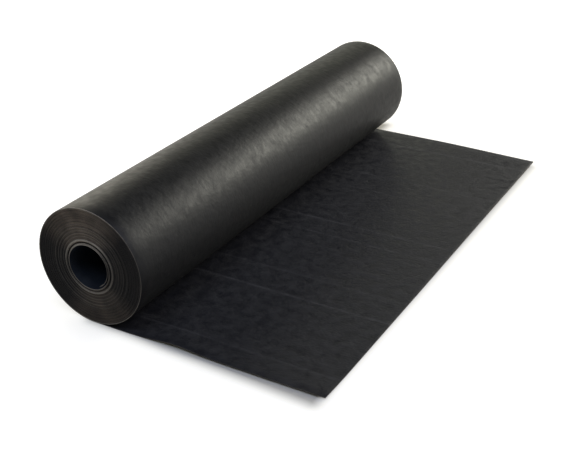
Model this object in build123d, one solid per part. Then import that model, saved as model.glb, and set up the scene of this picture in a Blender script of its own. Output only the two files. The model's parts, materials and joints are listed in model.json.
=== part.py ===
import os
from math import acos, degrees, floor

from build123d import *

# The strip of membrane
membrane_width = 1000.0
membrane_thickness = 1.02
unrolled_reach = 435.0  # flat stretch, from the line the roll stands on to the cut edge

# The wound roll
roll_radius = 105.0
bore_radius = 38.5
turn_slack = 0.17  # air between two turns
crease_gap = 0.3  # opening at which the crease between roll and flat stretch is closed

# The inner end of the strip, a step along the bore
inner_end_angle = -60.0
inner_end_lead = 60.0  # arc over which the turn beyond the step comes in to the bore

# The slack innermost turns, dropped to the bottom of the open gap round them
loose_turns = 3.0
loose_gap_top = 4.2
loose_gap_bottom = 0.4
loose_gap_depth = 10.0

# The turns on the cut ends, shown as one spiral groove
turns_per_groove = 4
groove_width = 0.8
groove_depth = 1.5
groove_margin = 2.4  # plain ring left outside and inside the groove

turn_pitch = membrane_thickness + turn_slack
groove_pitch = turns_per_groove * turn_pitch
axis_x = (roll_radius - unrolled_reach) / 2
free_edge_x = axis_x + unrolled_reach
axis_point = Vector(axis_x, roll_radius)


def polar(radius, angle):
    return axis_point + Vector(radius, 0).rotate(Axis.Z, angle)


def wind_inwards(height, radius, drop, quarters, last_sweep=90.0):
    # Tangent quarter arcs from the bottom of the roll, up its left side and on inwards
    point = Vector(axis_x, height)
    for quarter in range(quarters):
        to_centre = 90.0 - 90.0 * quarter
        centre = point + Vector(radius, 0).rotate(Axis.Z, to_centre)
        sweep = last_sweep if quarter == quarters - 1 else 90.0
        point = CenterArc(centre, radius, to_centre + 180.0, -sweep) @ 1
        radius -= drop / 4
    return point


def roll_outline():
    # Outer turn with the flat stretch running out from under it
    last_radius = roll_radius - 0.75 * membrane_thickness
    crease_sweep = 90.0 - degrees(acos(1 - crease_gap / last_radius))
    crease = wind_inwards(0, roll_radius, membrane_thickness, 4, crease_sweep)
    Polyline(
        crease,
        (crease.X, membrane_thickness),
        (free_edge_x, membrane_thickness),
        (free_edge_x, 0),
        (axis_x, 0),
    )


def inner_end_outline():
    # Sliver beyond the inner end of the strip, one thickness deep at the step
    step = inner_end_angle
    middle = step - inner_end_lead / 2
    last = step - inner_end_lead
    ThreePointArc(
        polar(bore_radius + membrane_thickness, step),
        polar(bore_radius + membrane_thickness / 2, middle),
        polar(bore_radius, last),
    )
    Polyline(polar(bore_radius, last), axis_point, polar(bore_radius + membrane_thickness, step))


def groove_outline(outer_radius, inner_radius):
    # Spiral channel between two radii, as many quarter turns as fit
    quarters = floor(4 * (outer_radius - inner_radius) / groove_pitch)
    ends = []
    for radius in (outer_radius, outer_radius - groove_width):
        start = Vector(axis_x, roll_radius - radius)
        ends.append((start, wind_inwards(start.Y, radius, groove_pitch, quarters)))
    Line(ends[0][0], ends[1][0])
    Line(ends[0][1], ends[1][1])


loose_radius = bore_radius + loose_turns * turn_pitch
gap_radius = loose_radius + (loose_gap_top + loose_gap_bottom) / 2
gap_rise = (loose_gap_top - loose_gap_bottom) / 2

with BuildPart() as membrane_roll:
    with BuildSketch(Plane.XZ):
        with BuildLine():
            roll_outline()
        make_face()
        with Locations(axis_point):
            Circle(bore_radius, mode=Mode.SUBTRACT)
        with BuildLine():
            inner_end_outline()
        make_face(mode=Mode.SUBTRACT)
    extrude(amount=membrane_width / 2, both=True)

    for side in (1, -1):
        cut_end = Plane.XZ.offset(side * membrane_width / 2)
        with BuildSketch(cut_end):
            with BuildLine():
                groove_outline(roll_radius - groove_margin, gap_radius + gap_rise + groove_margin)
            make_face()
        extrude(amount=-side * groove_depth, mode=Mode.SUBTRACT)
        with BuildSketch(cut_end):
            with Locations(axis_point + Vector(0, gap_rise)):
                Circle(gap_radius)
            with Locations(axis_point):
                Circle(loose_radius, mode=Mode.SUBTRACT)
        extrude(amount=-side * loose_gap_depth, mode=Mode.SUBTRACT)

os.makedirs("parts", exist_ok=True)
export_step(membrane_roll.part, "parts/membrane_roll.step")
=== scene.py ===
import json
import math

import bmesh
import bpy
from mathutils import Matrix, Vector, noise


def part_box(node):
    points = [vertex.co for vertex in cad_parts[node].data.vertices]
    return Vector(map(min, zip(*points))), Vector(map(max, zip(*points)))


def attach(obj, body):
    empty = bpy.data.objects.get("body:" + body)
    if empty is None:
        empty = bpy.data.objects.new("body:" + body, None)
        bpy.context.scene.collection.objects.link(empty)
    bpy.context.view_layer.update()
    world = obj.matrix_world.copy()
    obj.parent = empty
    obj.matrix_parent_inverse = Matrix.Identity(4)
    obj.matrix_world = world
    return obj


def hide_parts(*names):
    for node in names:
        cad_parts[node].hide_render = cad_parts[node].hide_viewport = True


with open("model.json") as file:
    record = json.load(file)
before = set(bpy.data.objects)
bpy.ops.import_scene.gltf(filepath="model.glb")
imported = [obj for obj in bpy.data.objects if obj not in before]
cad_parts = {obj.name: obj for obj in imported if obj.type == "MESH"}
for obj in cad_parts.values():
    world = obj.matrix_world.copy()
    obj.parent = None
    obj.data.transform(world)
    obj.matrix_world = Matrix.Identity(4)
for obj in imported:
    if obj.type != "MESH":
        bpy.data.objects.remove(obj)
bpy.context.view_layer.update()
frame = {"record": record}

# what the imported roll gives: its box, and the bore its turns run round
boxLow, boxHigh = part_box("membrane_roll")
boreMount = next(m for m in frame["record"]["mounts"] if m["name"] == "bore")
axisX = boreMount["pos_m"][0]
axisZ = boreMount["pos_m"][2]
rollRadius = axisX - boxLow[0]
boreRadius = boreMount["dims"]["r_mm"] / 1000
freeEdgeX = boxHigh[0]
stripWidth = boxHigh[1] - boxLow[1]
flatReach = freeEdgeX - axisX  # unrolled length, from the free edge to where the roll takes it up
print("roll radius", round(rollRadius, 4), "bore", boreRadius, "width", stripWidth)

strip = {
    "length": 25.0,  # as cut
    "thickness": 0.00102,
    "pitch": 0.001085,  # from one turn to the next where they lie close
    "turnSteps": 80,
    "flatStep": 0.0075,
    "columns": 2,
    "visibleCuts": 23,  # more columns where the strip shows
    "visibleExtra": 8,  # rows past the outermost turn that still have them
    "edgeRound": 0.0004,
    "sharpFrom": math.radians(40),
    "openTurns": {  # turn counted from outside: extra air behind it
        1: 0.0006, 4: 0.0005, 8: 0.0005, 12: 0.0005, 16: 0.0004, 20: 0.0004, 24: 0.0004, 28: 0.0003,
        32: 0.0004, 36: 0.0003, 41: 0.0003, 46: 0.0004, 51: 0.0014,
    },
    "openSpan": math.radians(70),
    "gap": (0.0446, 0.0432),  # the open ring that the slack inner turns have dropped in
    "woundShift": (0.0003, 0.0009),  # the wound turns end up this far right and up
    "slackShift": (-0.0002, 0.0004),
    "tailLength": 0.16,  # the inner end springs off the bore wall
    "tailLift": 0.0035,
    "proudTurns": {  # radius: how far the turns stand out of the near end
        0.1045: 0.0008, 0.0738: -0.0006, 0.0700: 0.0005, 0.0667: -0.0005, 0.0555: -0.0006,
        0.0478: 0.0012, 0.0405: 0.0014,
    },
    "proudWidth": 0.0018,
    # the turns slide along the axis, in long and short waves to the metre of strip
    "wander": {"slide": 0.0005, "long": 0.8, "short": 5.0, "shortShare": 0.6, "easeOver": 0.4},
    "paleTurns": {  # radius: how much paler the turns' edges are, pale and painted highlight, and over what half width
        0.1046: (0.9, 0.0016), 0.0757: (0.20, 0.0010), 0.0703: (0.24, 0.0010), 0.0651: (0.24, 0.0010),
        0.0597: (0.26, 0.0010), 0.0545: (0.26, 0.0010), 0.0480: (1.0, 0.0018), 0.0408: (1.0, 0.0018),
    },
    "flatEdgePale": 0.2,  # on the flat stretch's edges
    "flatEdgeDust": 0.5,
    "dustBelow": 0.6,  # below the bore, as a share of the dust and painted sheen above it
    "dustLean": math.radians(-12),
    "flatWave": {  # waves to the metre, out and across, higher at the edges and none at the roll
        "height": 0.0006, "out": 5.0, "across": 3.5, "inside": 0.35, "atEdges": 0.8, "freeEdge": 0.06,
        "flatFor": 0.03, "easeOver": 0.12,
    },
    "cornerLift": 0.003,  # the front corner of the free edge curls off the floor
    "cornerSpan": 0.10,
    "endShort": 0.0036,  # the free end is cut this much shorter than the part's box
    # the far edge draws in toward the free end, from so far out from the axis
    "farDraw": {"draw": 0.0095, "from": 0.20, "outGrowth": 1.5, "acrossGrowth": 3},
    # a shallow wave in the front edge, so far out from the axis
    "dent": {"out": 0.155, "half": 0.05, "span": 0.12, "lift": 0.0032, "draw": 0.0024},
}
noiseRows = {"long": 3.1, "short": 7.7, "flat": 1.7}  # where each wave is taken from the noise


def windPath():
    # outer face of the strip from its free edge to its inner end: (distance, x, z, radius) rows
    flatSteps = round(flatReach / strip["flatStep"])
    rows = []
    for step in range(flatSteps):
        along = flatReach * step / flatSteps
        x = axisX + (flatReach - strip["endShort"]) * (1 - step / flatSteps)
        rows.append((along, x, 0.0, rollRadius))
    stepAngle = math.tau / strip["turnSteps"]
    halfSpan = strip["openSpan"] / 2
    angle, radius, along = 0.0, rollRadius, flatReach
    while along < strip["length"]:
        shiftX, shiftZ = turnShift(radius)
        tail = max(1 - (strip["length"] - along) / strip["tailLength"], 0)
        reached = radius - strip["tailLift"] * tail ** 2
        x = axisX + shiftX - reached * math.sin(angle)
        z = axisZ + shiftZ - reached * math.cos(angle)
        rows.append((along, x, z, radius))
        angle += stepAngle
        radius -= strip["pitch"] / strip["turnSteps"]
        turn = round(angle / math.tau)
        off = angle - turn * math.tau
        if abs(off) < halfSpan and turn in strip["openTurns"]:
            share = stepAngle * (1 + math.cos(math.pi * off / halfSpan)) / strip["openSpan"]
            radius -= strip["openTurns"][turn] * share
        along += radius * stepAngle
    print("turns", round(angle / math.tau, 2), "inner radius", round(radius - strip["thickness"], 4))
    return rows, flatSteps


def turnShift(radius):
    # how far a turn's middle lies off the axis of the roll
    outside, inside = strip["gap"]
    wound = min((rollRadius - radius) / (rollRadius - outside), 1)
    slack = min(max((outside - radius) / (outside - inside), 0), 1)
    pairs = zip(strip["woundShift"], strip["slackShift"])
    return [w * wound * (1 - slack) + s * slack for w, s in pairs]


def sideShift(along, radius):
    # how far the turns have slid along the axis while the roll was wound
    wander = strip["wander"]
    ease = min(max((along - flatReach) / wander["easeOver"], 0), 1)
    longWave = noise.noise((along * wander["long"], noiseRows["long"], 0))
    shortWave = noise.noise((along * wander["short"], noiseRows["short"], 0))
    shift = wander["slide"] * (longWave + wander["shortShare"] * shortWave)
    for ring, proud in strip["proudTurns"].items():
        shift -= proud * math.exp(-(((radius - ring) / strip["proudWidth"]) ** 2))
    return ease * shift


def dentShare(x, y):
    # where the front edge has a shallow wave
    dent = strip["dent"]
    inward = max(1 - (y + stripWidth / 2) / dent["span"], 0)
    return math.exp(-(((x - axisX - dent["out"]) / dent["half"]) ** 2)) * inward ** 2


def edgeDrift(x, y, along):
    # how far the flat stretch's long edges run off straight
    if along >= flatReach:
        return 0.0
    far = strip["farDraw"]
    out = max((x - axisX - far["from"]) / (flatReach - far["from"]), 0)
    across = 0.5 + y / stripWidth
    drawn = far["draw"] * out ** far["outGrowth"] * across ** far["acrossGrowth"]
    return strip["dent"]["draw"] * dentShare(x, y) - drawn


def liftOf(x, y, along):
    # the flat stretch doesn't lie quite flat, and least of all at its edges
    wave = strip["flatWave"]
    ease = min(max((flatReach - along - wave["flatFor"]) / wave["easeOver"], 0), 1)
    edge = (abs(y) / (stripWidth / 2)) ** 6 + max(1 - along / wave["freeEdge"], 0) ** 2
    ripple = 0.5 + noise.noise((x * wave["out"], y * wave["across"], noiseRows["flat"]))
    front = max(1 - (y + stripWidth / 2) / strip["cornerSpan"], 0)
    corner = strip["cornerLift"] * front ** 2 * (1 - along / flatReach)
    if along < flatReach:
        corner += strip["dent"]["lift"] * dentShare(x, y)
    return ease * (wave["height"] * max(ripple, 0) * (wave["inside"] + wave["atEdges"] * edge) + corner)


def paleEdge(along, radius):
    # the outermost turn, some inner ones and those next to the open ring have paler edges, pale and a
    # painted highlight for the light their rims catch
    if along < flatReach:
        return strip["flatEdgePale"]
    rings = strip["paleTurns"].items()
    return max(pale * math.exp(-(((radius - ring) / half) ** 4)) for ring, (pale, half) in rings)


def ledgeDust(along, x, z):
    # dust, and a painted sheen for the light the edges catch, lie where the turns' edges make level
    # ledges, more above the bore than below
    if along < flatReach:
        return strip["flatEdgeDust"]
    level = math.cos(math.atan2(x - axisX, z - axisZ) - strip["dustLean"])
    return level ** 2 * (1 if level > 0 else strip["dustBelow"])


bakeAreas = {  # places on the square that the finish is kept on: low corner, size
    "outer": ((0.005, 0.005), (0.56, 0.48)),
    "flatTop": ((0.575, 0.005), (0.25, 0.48)),
    "bore": ((0.835, 0.005), (0.13, 0.48)),
    "hidden": ((0.975, 0.005), (0.02, 0.48)),
    "nearEnd": ((0.005, 0.50), (0.46, 0.46)),
    "farEnd": ((0.475, 0.50), (0.46, 0.46)),
    "nearEdge": ((0.945, 0.50), (0.01, 0.46)),
    "farEdge": ((0.958, 0.50), (0.01, 0.46)),
    "freeEnd": ((0.971, 0.50), (0.01, 0.46)),
    "innerEnd": ((0.984, 0.50), (0.01, 0.46)),
}
bakeSpans = {"flatTop": 0.50, "bore": 0.27, "edgeDepth": 0.006}  # metres of strip on a place
hiddenFace = 0.45  # share of the hidden place that each of the two faces takes


def bakeArea(face, along, shownAlong):
    # which of the places a face belongs to
    side = face.calc_center_median().y
    if face.material_index == 0:
        return "outer" if along < shownAlong else "hidden"
    if face.material_index == 1:
        if along < bakeSpans["flatTop"]:
            return "flatTop"
        return "bore" if along > strip["length"] - bakeSpans["bore"] else "hidden"
    if abs(side) > stripWidth / 2 - bakeSpans["edgeDepth"]:
        end = "near" if side < 0 else "far"
        return end + ("Edge" if along < flatReach else "End")
    return "freeEnd" if along < flatReach else "innerEnd"


def bakeShare(area, spot, along, isInner, shownAlong):
    # how far across and up its place a corner lies
    across = spot.y / stripWidth + 0.5
    if area == "outer":
        return along / shownAlong, across
    if area == "flatTop":
        return along / bakeSpans["flatTop"], across
    if area == "bore":
        return 1 - (strip["length"] - along) / bakeSpans["bore"], across
    if area == "hidden":
        return 0.5 * isInner + hiddenFace * along / strip["length"], across
    if area in ("nearEnd", "farEnd"):
        return (spot.x - axisX) / (2 * rollRadius) + 0.5, spot.z / (2 * rollRadius)
    if area == "innerEnd":
        depth = math.hypot(spot.x - axisX, spot.z - axisZ) - boreRadius + bakeSpans["edgeDepth"]
        return depth / (2 * bakeSpans["edgeDepth"]), across
    depth = spot.z / bakeSpans["edgeDepth"]
    return depth, across if area == "freeEnd" else along / flatReach


def layMaps(bm, alongLayer, shownAlong):
    # one map in metres for the finish, one that parts what shows from what is wound in
    stripMap = bm.loops.layers.uv.new("strip")
    bakeMap = bm.loops.layers.uv.new("OFBake")
    for f in bm.faces:
        middle = sum(v[alongLayer] for v in f.verts) / len(f.verts)
        area = bakeArea(f, middle, shownAlong)
        (lowU, lowV), (sizeU, sizeV) = bakeAreas[area]
        for loop in f.loops:
            spot, along = loop.vert.co, loop.vert[alongLayer]
            u, v = bakeShare(area, spot, along, f.material_index == 1, shownAlong)
            loop[stripMap].uv = (spot.y, along)
            loop[bakeMap].uv = (lowU + sizeU * min(max(u, 0), 1), lowV + sizeV * min(max(v, 0), 1))


def buildStrip():
    rows, flatSteps = windPath()
    last = len(rows) - 1
    visibleRows = flatSteps + strip["turnSteps"] + strip["visibleExtra"]
    bm = bmesh.new()
    bmesh.ops.create_grid(bm, x_segments=last, y_segments=strip["columns"], size=1.0)

    def rowOf(vert):
        return round((vert.co.x + 1) / 2 * last)

    crossEdges = []
    for edge in bm.edges:
        first, second = (rowOf(v) for v in edge.verts)
        if first == second and first <= visibleRows:
            crossEdges.append(edge)
    bmesh.ops.subdivide_edges(bm, edges=crossEdges, cuts=strip["visibleCuts"], use_grid_fill=True)
    alongLayer = bm.verts.layers.float.new("along")
    paleAndHighlightLayer = bm.verts.layers.float.new("paleEdge")
    dustAndSheenLayer = bm.verts.layers.float.new("ledgeDust")
    for v in bm.verts:
        along, x, z, radius = rows[rowOf(v)]
        y = v.co.y * stripWidth / 2 + sideShift(along, radius)
        v[alongLayer] = along
        # pale edges with a painted highlight on the rims
        v[paleAndHighlightLayer] = paleEdge(along, radius)
        # dust with a painted sheen, lighter where the turns' edges run level
        v[dustAndSheenLayer] = ledgeDust(along, x, z)
        v.co = (x, y + edgeDrift(x, y, along), z + liftOf(x, y, along))
    bm.normal_update()
    outer = set(bm.faces)
    made = bmesh.ops.solidify(bm, geom=bm.faces[:], thickness=strip["thickness"])
    inner = {f for f in made["geom"] if isinstance(f, bmesh.types.BMFace)}
    for f in bm.faces:
        f.material_index = 0 if f in outer else 1 if f in inner else 2
    corners = [e for e in bm.edges if len({f.material_index for f in e.link_faces}) > 1]
    rounded = bmesh.ops.bevel(
        bm, geom=corners, offset=strip["edgeRound"], segments=2, profile=0.5, affect="EDGES", material=-1,
    )
    for f in rounded["faces"]:
        f.material_index = 2
    for f in bm.faces:
        f.smooth = True
    layMaps(bm, alongLayer, rows[visibleRows][0])
    mesh = bpy.data.meshes.new("membraneRoll")
    bm.to_mesh(mesh)
    bm.free()
    mesh.set_sharp_from_angle(angle=strip["sharpFrom"])
    piece = bpy.data.objects.new("membraneRoll", mesh)
    bpy.context.collection.objects.link(piece)
    print("strip faces", len(mesh.polygons), "triangles", sum(len(p.vertices) - 2 for p in mesh.polygons))
    return piece


def newMaterial(name):
    material = bpy.data.materials.new(name)
    material.use_nodes = True
    return material, material.node_tree, material.node_tree.nodes["Principled BSDF"]


def addNode(tree, kind, inputs=(), **settings):
    # a node with its settings, and its inputs given as numbers or as other nodes' outputs
    node = tree.nodes.new(kind)
    for key, value in settings.items():
        setattr(node, key, value)
    for socket, value in dict(inputs).items():
        if isinstance(value, bpy.types.NodeSocket):
            tree.links.new(value, node.inputs[socket])
        else:
            node.inputs[socket].default_value = value
    return node


def mathNode(tree, operation, a, b):
    return addNode(tree, "ShaderNodeMath", {0: a, 1: b}, operation=operation).outputs[0]


def blend(tree, share, first, second):
    inputs = {"Factor": share, 6: first, 7: second}
    return addNode(tree, "ShaderNodeMix", inputs, data_type="RGBA").outputs[2]


def stretchedNoise(tree, vector, scale, detail):
    placed = addNode(tree, "ShaderNodeMapping", {"Vector": vector, "Scale": scale})
    inputs = {"Vector": placed.outputs[0], "Scale": 1.0, "Detail": detail}
    return addNode(tree, "ShaderNodeTexNoise", inputs).outputs["Fac"]


def spread(tree, value, low, high, fromLow=0.3, fromHigh=0.7):
    ranged = addNode(
        tree, "ShaderNodeMapRange",
        {"Value": value, "From Min": fromLow, "From Max": fromHigh, "To Min": low, "To Max": high},
    )
    return ranged.outputs[0]


outsideFinish = {
    "dark": (0.0030, 0.0031, 0.0037, 1), "light": (0.0105, 0.0103, 0.0106, 1),
    "rough": (0.41, 0.55), "specular": 0.25,
    "mottle": (75, 60, 1), "mottleHeight": 0.00058,  # patches to the metre, across and along
    "grain": (185, 145, 1), "grainHeight": 0.0002,
}
insideFinish = {
    "dark": (0.0074, 0.0077, 0.0098, 1), "light": (0.0152, 0.0153, 0.0178, 1),
    "rough": (0.38, 0.64), "specular": 0.26,
    "mottle": (60, 50, 1), "mottleHeight": 0.0009,
    "grain": (240, 150, 1), "grainHeight": 0.0003,
    "lines": (-0.448, -0.269, -0.198, -0.04, 0.015, 0.181, 0.255, 0.43),  # across, from the middle
    "lineHalf": 0.0019, "lineColor": (0.045, 0.044, 0.047, 1),
    "lineBreaks": (14, 26, 1), "lineBreakSpan": (0.3, 1.0, 0.38, 0.62),
    # painted shade: the bore wall takes the cool colour of its shadow
    "bore": (0.0062, 0.0090, 0.0140, 1),  # the wall of the bore, a little bluer in the photo
}
rubberTone = {  # what the two faces share
    "handled": (7, 4, 1), "handledTone": (0.75, 1.1),
    "mottleShare": 0.65, "grainShare": 0.35, "noiseSpan": (0.3, 0.72),
}


def rubberFace(name, finish):
    material, tree, shader = newMaterial(name)
    where = addNode(tree, "ShaderNodeUVMap", uv_map="strip").outputs["UV"]
    mottle = stretchedNoise(tree, where, finish["mottle"], detail=3.0)
    grain = stretchedNoise(tree, where, finish["grain"], detail=1.0)
    handled = stretchedNoise(tree, where, rubberTone["handled"], detail=4.0)
    broad = spread(tree, mottle, 0, rubberTone["mottleShare"], *rubberTone["noiseSpan"])
    fine = spread(tree, grain, 0, rubberTone["grainShare"], *rubberTone["noiseSpan"])
    tone = mathNode(tree, "ADD", broad, fine)
    tone = mathNode(tree, "MULTIPLY", tone, spread(tree, handled, *rubberTone["handledTone"]))
    color = blend(tree, tone, finish["dark"], finish["light"])
    if "lines" in finish:
        color = pressedLines(tree, where, color, finish)
    if "bore" in finish:
        color = boreShadeTint(tree, color, finish)
    tree.links.new(color, shader.inputs["Base Color"])
    tree.links.new(spread(tree, mottle, *finish["rough"]), shader.inputs["Roughness"])
    bump = addNode(tree, "ShaderNodeBump", {"Distance": finish["mottleHeight"], "Height": mottle})
    pebbled = {"Distance": finish["grainHeight"], "Height": grain, "Normal": bump.outputs[0]}
    bump = addNode(tree, "ShaderNodeBump", pebbled)
    tree.links.new(bump.outputs[0], shader.inputs["Normal"])
    shader.inputs["Specular IOR Level"].default_value = finish["specular"]
    return material


def pressedLines(tree, where, color, finish):
    # faint paler lines that run with the strip, broken along their length
    across = addNode(tree, "ShaderNodeSeparateXYZ", {0: where})
    middle = mathNode(tree, "ADD", across.outputs["X"], 0.5)
    ramp = addNode(tree, "ShaderNodeValToRGB", {"Fac": middle})
    half = finish["lineHalf"]
    stops = ramp.color_ramp.elements
    stops[0].color = (0, 0, 0, 1)
    stops[1].color = (0, 0, 0, 1)
    for place in finish["lines"]:
        for offset, level in ((-half, 0), (0, 1), (half, 0)):
            stops.new(place + 0.5 + offset).color = (level, level, level, 1)
    breaks = stretchedNoise(tree, where, finish["lineBreaks"], detail=5.0)
    breaks = spread(tree, breaks, *finish["lineBreakSpan"])
    share = mathNode(tree, "MULTIPLY", ramp.outputs["Color"], breaks)
    return blend(tree, share, color, finish["lineColor"])


def boreShadeTint(tree, color, finish):
    # the last of the strip, which lines the bore, with a painted bluish shade
    along = addNode(tree, "ShaderNodeAttribute", attribute_name="along").outputs["Fac"]
    inBore = mathNode(tree, "GREATER_THAN", along, strip["length"] - bakeSpans["bore"])
    return blend(tree, inBore, color, finish["bore"])


# the dusty tone also carries a painted sheen on the end faces' level ledges
edgeFinish = {
    "dark": (0.0040, 0.0043, 0.0052, 1), "dusty": (0.175, 0.138, 0.104, 1),
    "pale": (0.40, 0.36, 0.295, 1), "rough": 0.5, "specular": 0.12,
    "patches": (40, 40, 40), "patchDust": (0.2, 0.8), "patchPale": (0.6, 1.0),
    "streaks": (0, 2.6, 1), "streakDust": (0.1, 0.6),
    "ledgeDust": (0.05, 0.8, 0.25, 1.0), "ledgePale": (0.3, 1.0, 0, 1),
}


def cutEdge():
    material, tree, shader = newMaterial("cutEdge")
    where = addNode(tree, "ShaderNodeUVMap", uv_map="strip").outputs["UV"]
    place = addNode(tree, "ShaderNodeTexCoord").outputs["Object"]
    patches = stretchedNoise(tree, place, edgeFinish["patches"], detail=5.0)
    streaks = stretchedNoise(tree, where, edgeFinish["streaks"], detail=2.0)
    # dust and a painted sheen, lighter where the turns' edges run level, above and below the bore
    dustAndSheenMask = addNode(tree, "ShaderNodeAttribute", attribute_name="ledgeDust").outputs["Fac"]
    patchy = spread(tree, patches, *edgeFinish["patchDust"])
    uneven = mathNode(tree, "ADD", patchy, spread(tree, streaks, *edgeFinish["streakDust"]))
    dustAndSheen = mathNode(tree, "MULTIPLY", spread(tree, dustAndSheenMask, *edgeFinish["ledgeDust"]), uneven)
    color = blend(tree, dustAndSheen, edgeFinish["dark"], edgeFinish["dusty"])
    # pale edges with a painted highlight on the rims
    pale = addNode(tree, "ShaderNodeAttribute", attribute_name="paleEdge").outputs["Fac"]
    pale = mathNode(tree, "MULTIPLY", pale, spread(tree, dustAndSheenMask, *edgeFinish["ledgePale"]))
    pale = mathNode(tree, "MULTIPLY", pale, spread(tree, patches, *edgeFinish["patchPale"]))
    tree.links.new(blend(tree, pale, color, edgeFinish["pale"]), shader.inputs["Base Color"])
    shader.inputs["Roughness"].default_value = edgeFinish["rough"]
    shader.inputs["Specular IOR Level"].default_value = edgeFinish["specular"]
    return material


membrane = buildStrip()
membrane.data.materials.append(rubberFace("membraneOutside", outsideFinish))
membrane.data.materials.append(rubberFace("membraneInside", insideFinish))
membrane.data.materials.append(cutEdge())
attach(membrane, "root")
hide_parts("membrane_roll")
print("membrane finished in", len(membrane.data.materials), "materials")

floorSet = {
    "size": 14.0,
    "color": (0.446, 0.43, 0.39, 1), "rough": 0.9, "specular": 0.0,
    # boxes of painted shadow: the floor's glow fades out round them
    "shades": {
        "flatStretch": {  # painted shadow under the flat stretch, and just past its front edge
            "low": (axisX, -stripWidth / 2 - 0.002),
            "high": (freeEdgeX - 0.013, stripWidth / 2 - 0.03),
            "slant": (-0.013, 0.05),
        },
        "farFoot": {  # painted shadow under the roll, and past its far end
            "low": (axisX - 0.03, 0.05 - stripWidth / 2),
            "high": (axisX + 0.048, stripWidth / 2 + 0.032),
            "slant": (0.0, 0.0),
        },
    },
    "seen": {"Is Camera Ray": 1.0, "Is Glossy Ray": 0.4, "Is Transmission Ray": 1.0},
    "fadeSpan": 1.5,
    "fade": {  # share of that span: glow
        0.0: (0.015, 0.015, 0.01, 1), 0.0133: (0.61, 0.61, 0.60, 1), 0.02: (0.70, 0.70, 0.69, 1),
        0.1: (0.85, 0.85, 0.85, 1), 0.4: (0.95, 0.95, 0.95, 1), 1.0: (1, 1, 1, 1),
    },
}


def glowShare(tree):
    # how much of the floor's glow each kind of ray sees
    path = addNode(tree, "ShaderNodeLightPath")
    seen = 0.0
    for kind, share in floorSet["seen"].items():
        seen = mathNode(tree, "MAXIMUM", seen, mathNode(tree, "MULTIPLY", path.outputs[kind], share))
    return seen


def shadeDistance(tree, place, low, high, slant):
    # how far a place on the floor lies outside a slanted box of painted shadow
    middle = ((low[0] + high[0]) / 2, (low[1] + high[1]) / 2, 0)
    half = ((high[0] - low[0]) / 2, (high[1] - low[1]) / 2, 0)
    off = addNode(tree, "ShaderNodeVectorMath", {0: place, 1: middle}, operation="SUBTRACT")
    parts = addNode(tree, "ShaderNodeSeparateXYZ", {0: off.outputs[0]})
    across = mathNode(tree, "MULTIPLY", parts.outputs["Y"], slant[0])
    forward = mathNode(tree, "MULTIPLY", parts.outputs["X"], slant[1])
    across = mathNode(tree, "ADD", parts.outputs["X"], across)
    forward = mathNode(tree, "ADD", parts.outputs["Y"], forward)
    off = addNode(tree, "ShaderNodeCombineXYZ", {"X": across, "Y": forward})
    off = addNode(tree, "ShaderNodeVectorMath", {0: off.outputs[0]}, operation="ABSOLUTE")
    off = addNode(tree, "ShaderNodeVectorMath", {0: off.outputs[0], 1: half}, operation="SUBTRACT")
    off = addNode(tree, "ShaderNodeVectorMath", {0: off.outputs[0], 1: (0, 0, 0)}, operation="MAXIMUM")
    return addNode(tree, "ShaderNodeVectorMath", {0: off.outputs[0]}, operation="LENGTH").outputs["Value"]


def floorGlow(tree):
    # white away from the roll, and a painted shadow where the glow fades round it
    place = addNode(tree, "ShaderNodeTexCoord").outputs["Object"]
    away = floorSet["fadeSpan"]
    for shade in floorSet["shades"].values():
        away = mathNode(tree, "MINIMUM", away, shadeDistance(tree, place, **shade))
    share = mathNode(tree, "DIVIDE", away, floorSet["fadeSpan"])
    ramp = addNode(tree, "ShaderNodeValToRGB", {"Fac": share})
    stops = ramp.color_ramp.elements
    stops.remove(stops[1])
    stops[0].position = 0
    for position, color in floorSet["fade"].items():
        stop = stops[0] if position == 0 else stops.new(position)
        stop.color = color
    return ramp.outputs["Color"]


def buildFloor():
    bm = bmesh.new()
    bmesh.ops.create_grid(bm, x_segments=1, y_segments=1, size=floorSet["size"] / 2)
    mesh = bpy.data.meshes.new("floor")
    bm.to_mesh(mesh)
    bm.free()
    floor = bpy.data.objects.new("floor", mesh)
    bpy.context.collection.objects.link(floor)
    material, tree, shader = newMaterial("paleFloor")
    shader.inputs["Base Color"].default_value = floorSet["color"]
    shader.inputs["Roughness"].default_value = floorSet["rough"]
    shader.inputs["Specular IOR Level"].default_value = floorSet["specular"]
    tree.links.new(floorGlow(tree), shader.inputs["Emission Color"])
    tree.links.new(glowShare(tree), shader.inputs["Emission Strength"])
    mesh.materials.append(material)
    print("floor", floorSet["size"], "m wide")


buildFloor()

studio = {"low": 1.0, "high": 0.02, "fadeFrom": math.radians(2), "fadeTo": math.radians(8)}


def buildWorld():
    # white round the foot of the room, dark above, the same for every ray
    world = bpy.data.worlds.new("studio")
    bpy.context.scene.world = world
    world.use_nodes = True
    tree = world.node_tree
    toward = addNode(tree, "ShaderNodeTexCoord").outputs["Generated"]
    height = addNode(tree, "ShaderNodeSeparateXYZ", {0: toward}).outputs["Z"]
    fadeFrom, fadeTo = math.sin(studio["fadeFrom"]), math.sin(studio["fadeTo"])
    strength = spread(tree, height, studio["low"], studio["high"], fadeFrom, fadeTo)
    tree.links.new(strength, tree.nodes["Background"].inputs["Strength"])
    tree.nodes["Background"].inputs["Color"].default_value = (1, 1, 1, 1)
    print("world white low down,", studio["high"], "above")


buildWorld()

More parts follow.
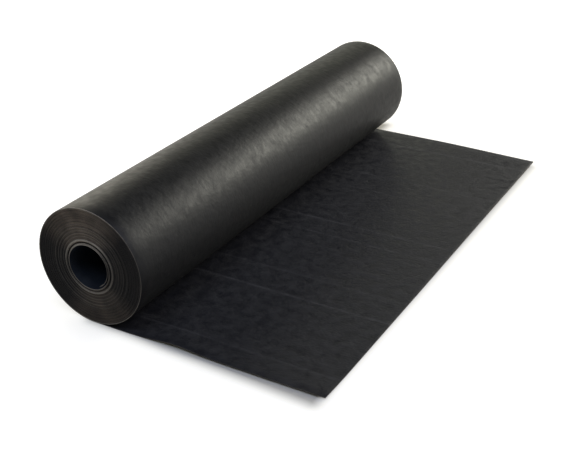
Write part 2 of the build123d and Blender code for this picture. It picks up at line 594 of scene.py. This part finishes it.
lamps = {  # degrees to the right from straight behind the roll, degrees up, metres, watts
    "backRight": {
        "turn": 26, "up": 27, "away": 2.6, "size": (1.8, 0.9), "power": 52, "color": (1, 0.98, 0.88),
    },
    "backRightLow": {
        "turn": 20, "up": 20, "away": 2.6, "size": (0.9, 0.5), "power": 5, "color": (1, 1, 0.8),
    },
    "backLeft": {
        "turn": -30, "up": 19, "away": 2.6, "size": (1.4, 0.6), "power": 3.8, "color": (1, 1, 0.8),
    },
    "left": {
        "turn": -76, "up": 25, "away": 2.6, "size": (2.4, 1.8), "power": 37, "color": (1, 0.95, 0.8),
    },
    "right": {
        "turn": 100, "up": 50, "away": 2.8, "size": (1.4, 1.2), "power": 21, "color": (0.66, 0.68, 1),
    },
    "front": {
        "turn": 180, "up": 57, "away": 2.8, "size": (1.4, 1.4), "power": 32, "color": (0.76, 0.84, 1),
    },
}
lampAim = Vector((0, 0, 0.05))


def buildLamps():
    for name, lamp in lamps.items():
        data = bpy.data.lights.new(name, "AREA")
        data.shape = "RECTANGLE"
        data.size, data.size_y = lamp["size"]
        data.energy = lamp["power"]
        data.color = lamp["color"]
        holder = bpy.data.objects.new(name, data)
        turn, up = math.radians(lamp["turn"]), math.radians(lamp["up"])
        toward = Vector((math.cos(up) * math.sin(turn), math.cos(up) * math.cos(turn), math.sin(up)))
        holder.location = lamp["away"] * toward
        holder.rotation_euler = (lampAim - holder.location).to_track_quat("-Z", "Y").to_euler()
        bpy.context.collection.objects.link(holder)
    print("lamps", ", ".join(lamps))


buildLamps()

camera = {
    "azimuth": math.radians(29.8733),
    "elevation": math.radians(27.6080),
    "tilt": math.radians(-0.3258),
    "target": (axisX + 0.1138, -0.0559, 0.0),
    "distance": 1.9737,
    "lens": 63.483,
    "sensor": 36.0,
}


def buildCamera():
    az, el, tilt = camera["azimuth"], camera["elevation"], camera["tilt"]
    back = Vector((math.sin(az) * math.cos(el), -math.cos(az) * math.cos(el), math.sin(el)))
    right = Vector((math.cos(az), math.sin(az), 0))
    up = back.cross(right)
    data = bpy.data.cameras.new("camera")
    data.lens = camera["lens"]
    data.sensor_width = camera["sensor"]
    holder = bpy.data.objects.new("camera", data)
    tiltedRight = math.cos(tilt) * right + math.sin(tilt) * up
    tiltedUp = math.cos(tilt) * up - math.sin(tilt) * right
    turned = Matrix((tiltedRight, tiltedUp, back)).transposed()
    place = Vector(camera["target"]) + camera["distance"] * back
    holder.matrix_world = Matrix.Translation(place) @ turned.to_4x4()
    bpy.context.collection.objects.link(holder)
    bpy.context.scene.camera = holder
    print("camera", round(camera["distance"], 2), "m away")


buildCamera()
bpy.context.scene.view_settings.view_transform = "Standard"
